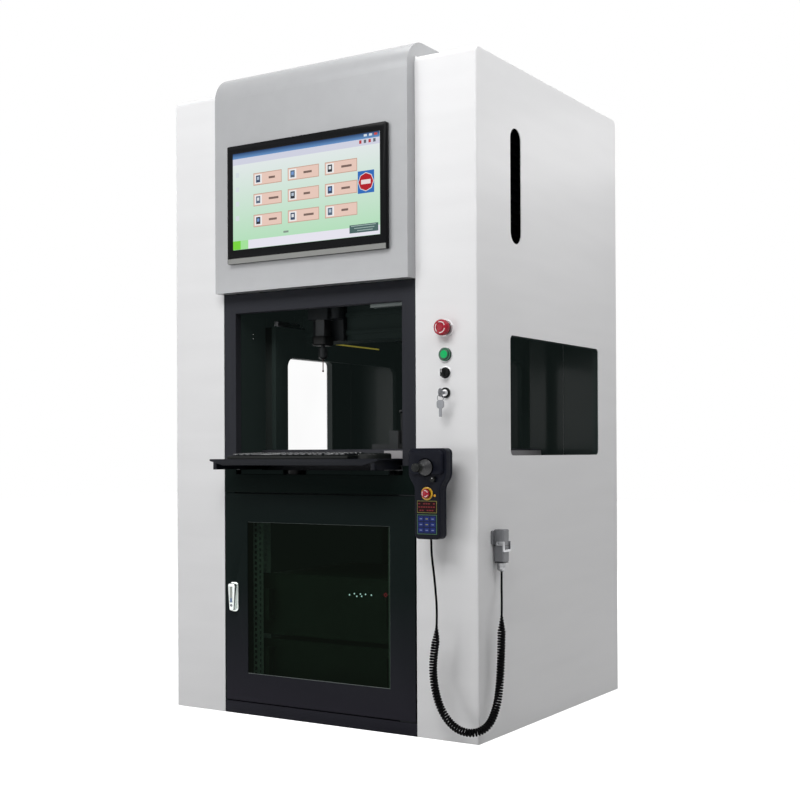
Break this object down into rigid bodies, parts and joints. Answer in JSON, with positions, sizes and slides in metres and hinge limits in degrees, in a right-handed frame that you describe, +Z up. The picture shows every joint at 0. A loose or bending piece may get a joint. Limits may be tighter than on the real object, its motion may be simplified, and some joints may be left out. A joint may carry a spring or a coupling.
{
  "type": "coordinate measuring machine",
  "caption": "Enclosed shop-floor coordinate measuring machine with side windows, overhead screen, keyboard tray, moving bridge, vertical ram with touch probe and corded hand control.",
  "frame": {"origin": "centre of the cabinet's footprint on the floor, under the middle cross tube of the support frame", "axes": "+X to the right seen from the front, -Y out of the front, +Z up"},
  "size_m": [1.0702, 1.069, 1.843],
  "materials": {
    "panel_white": "smooth powder coat",
    "frame_black": "fine-textured black powder coat",
    "head_silver": "silver metallic lacquer",
    "frame_grey": "grey structural paint",
    "black_plastic": "moulded, fine grain",
    "screen": "lit display behind a clear pane",
    "window_tint": "tinted clear sheet",
    "door_tint": "dark tinted sheet",
    "lamp_white": "lit diffuser",
    "bright_steel": "ground",
    "base_light": "light grey coated plate",
    "wall_grey": "mid grey coat",
    "mount_rubber": "moulded",
    "scale_gold": "gold-coloured tape",
    "chain_black": "moulded links",
    "silver_plate": "satin plated",
    "grey_alloy": "die cast",
    "stop_red": "glossy moulded",
    "start_green": "translucent moulded",
    "pendant_dark": "moulded, fine grain",
    "membrane": "printed membrane",
    "boot_rubber": "ribbed",
    "cord_black": "satin",
    "ceramic_white": "ground ceramic"
  },
  "bodies": {
    "cabinet": {"support_frame": "frame_grey", "left_casing": "panel_white", "right_casing": "panel_white", "rear_panel": "panel_white", "roof_panel": "panel_white", "plinth": "frame_black", "front_frame": "frame_black", "head_cover": "head_silver", "monitor_housing": "black_plastic", "monitor_screen": "screen", "jamb_liners": "frame_black", "light_bar": "lamp_white", "deck_panel": "frame_black", "vibration_mounts": "mount_rubber", "machine_base": "base_light", "gantry_walls": "wall_grey", "y_rails": "bright_steel", "y_scale": "scale_gold", "energy_chain": "chain_black", "reference_sphere": "bright_steel", "window_panes": "window_tint", "vent_inserts": "black_plastic", "rack_rails": "bright_steel", "rack_units": "frame_black", "tray_slides": "bright_steel", "control_bezels": "black_plastic", "connector_base": "grey_alloy", "pendant_hook": "bright_steel", "mains_inlet": "black_plastic", "curly_cord": "cord_black", "connector_hood": "grey_alloy"},
    "door": {"door_frame": "frame_black", "door_glass": "door_tint", "latch_plate": "silver_plate"},
    "latch": {"latch_handle": "silver_plate"},
    "keyboard_tray": {"tray_panel": "frame_black", "keyboard_case": "black_plastic", "keyboard_keys": "black_plastic", "mouse": "black_plastic"},
    "bridge": {"bridge_beam": "wall_grey"},
    "carriage": {"x_carriage": "wall_grey"},
    "ram": {"z_ram": "ceramic_white", "probe_head": "black_plastic", "touch_probe": "bright_steel"},
    "probe_stylus": {"stylus": "bright_steel"},
    "stop": {"stop_button": "stop_red"},
    "start": {"start_button": "start_green"},
    "selector": {"selector_knob": "black_plastic"},
    "key": {"switch_key": "silver_plate"},
    "keys": {"key_ring": "silver_plate"},
    "plug_lever": {"connector_lever": "bright_steel"},
    "pendant": {"pendant_front_shell": "pendant_dark", "pendant_back_shell": "pendant_dark", "pendant_panels": "membrane", "cord_upper_lead": "cord_black"},
    "pendant_stop": {"pendant_stop": "stop_red"},
    "pendant_knob": {"pendant_knob": "black_plastic"},
    "gimbal": {"joystick_gimbal": "bright_steel"},
    "joystick": {"joystick_handle": "black_plastic", "joystick_boot": "boot_rubber"}
  },
  "joints": [
    {"name": "door_hinge", "type": "hinge", "parent": "cabinet", "child": "door", "pos_m": [0.306, -0.452, 0.336], "axis": [0, 0, 1], "range_deg": [0, 90]},
    {"name": "latch_turn", "type": "hinge", "parent": "door", "child": "latch", "pos_m": [-0.289, -0.463, 0.359], "axis": [0, -1, 0], "range_deg": [0, 90]},
    {"name": "tray_slide", "type": "slide", "parent": "cabinet", "child": "keyboard_tray", "axis": [0, -1, 0], "range_m": [0, 0.08]},
    {"name": "bridge_travel", "type": "slide", "parent": "cabinet", "child": "bridge", "axis": [0, 1, 0], "range_m": [-0.02, 0.4]},
    {"name": "carriage_travel", "type": "slide", "parent": "bridge", "child": "carriage", "axis": [1, 0, 0], "range_m": [-0.04, 0.27]},
    {"name": "ram_travel", "type": "slide", "parent": "carriage", "child": "ram", "axis": [0, 0, -1], "range_m": [0, 0.22]},
    {"name": "stylus_tilt", "type": "hinge", "parent": "ram", "child": "probe_stylus", "pos_m": [-0.115, -0.2635, 1.0287], "axis": [1, 0, 0], "range_deg": [-10, 10], "stiffness_Nm_per_rad": 0.05},
    {"name": "stop_press", "type": "slide", "parent": "cabinet", "child": "stop", "axis": [0, 1, 0], "range_m": [0, 0.004], "stiffness_N_per_m": 2500},
    {"name": "start_press", "type": "slide", "parent": "cabinet", "child": "start", "axis": [0, 1, 0], "range_m": [0, 0.0035], "stiffness_N_per_m": 1500},
    {"name": "selector_turn", "type": "hinge", "parent": "cabinet", "child": "selector", "pos_m": [0.417, -0.469, 0.957], "axis": [0, 1, 0], "range_deg": [-45, 45]},
    {"name": "key_turn", "type": "hinge", "parent": "cabinet", "child": "key", "pos_m": [0.417, -0.469, 0.905], "axis": [0, 1, 0], "range_deg": [0, 45]},
    {"name": "ring_swing", "type": "hinge", "parent": "key", "child": "keys", "pos_m": [0.417, -0.4913, 0.90005], "axis": [0, 1, 0], "range_deg": [-45, 45]},
    {"name": "plug_lever_swing", "type": "hinge", "parent": "cabinet", "child": "plug_lever", "pos_m": [0.527, -0.366, 0.512], "axis": [0, -1, 0], "range_deg": [0, 90]},
    {"name": "pendant_lift", "type": "slide", "parent": "cabinet", "child": "pendant", "axis": [0, 0, 1], "range_m": [0, 0.04]},
    {"name": "pendant_stop_press", "type": "slide", "parent": "pendant", "child": "pendant_stop", "axis": [0, 1, 0], "range_m": [0, 0.003], "stiffness_N_per_m": 1200},
    {"name": "pendant_knob_turn", "type": "hinge", "parent": "pendant", "child": "pendant_knob", "pos_m": [0.425, -0.541, 0.681], "axis": [0, 1, 0], "range_deg": [-135, 135]},
    {"name": "joystick_pitch", "type": "hinge", "parent": "pendant", "child": "gimbal", "pos_m": [0.405, -0.541, 0.712], "axis": [1, 0, 0], "range_deg": [-15, 15], "stiffness_Nm_per_rad": 0.6},
    {"name": "joystick_yaw", "type": "hinge", "parent": "gimbal", "child": "joystick", "pos_m": [0.405, -0.541, 0.712], "axis": [0, 0, 1], "range_deg": [-15, 15], "stiffness_Nm_per_rad": 0.6}
  ],
  "couplings": [
    {"joint": "ring_swing", "follows": "key_turn", "ratio": -1}
  ]
}
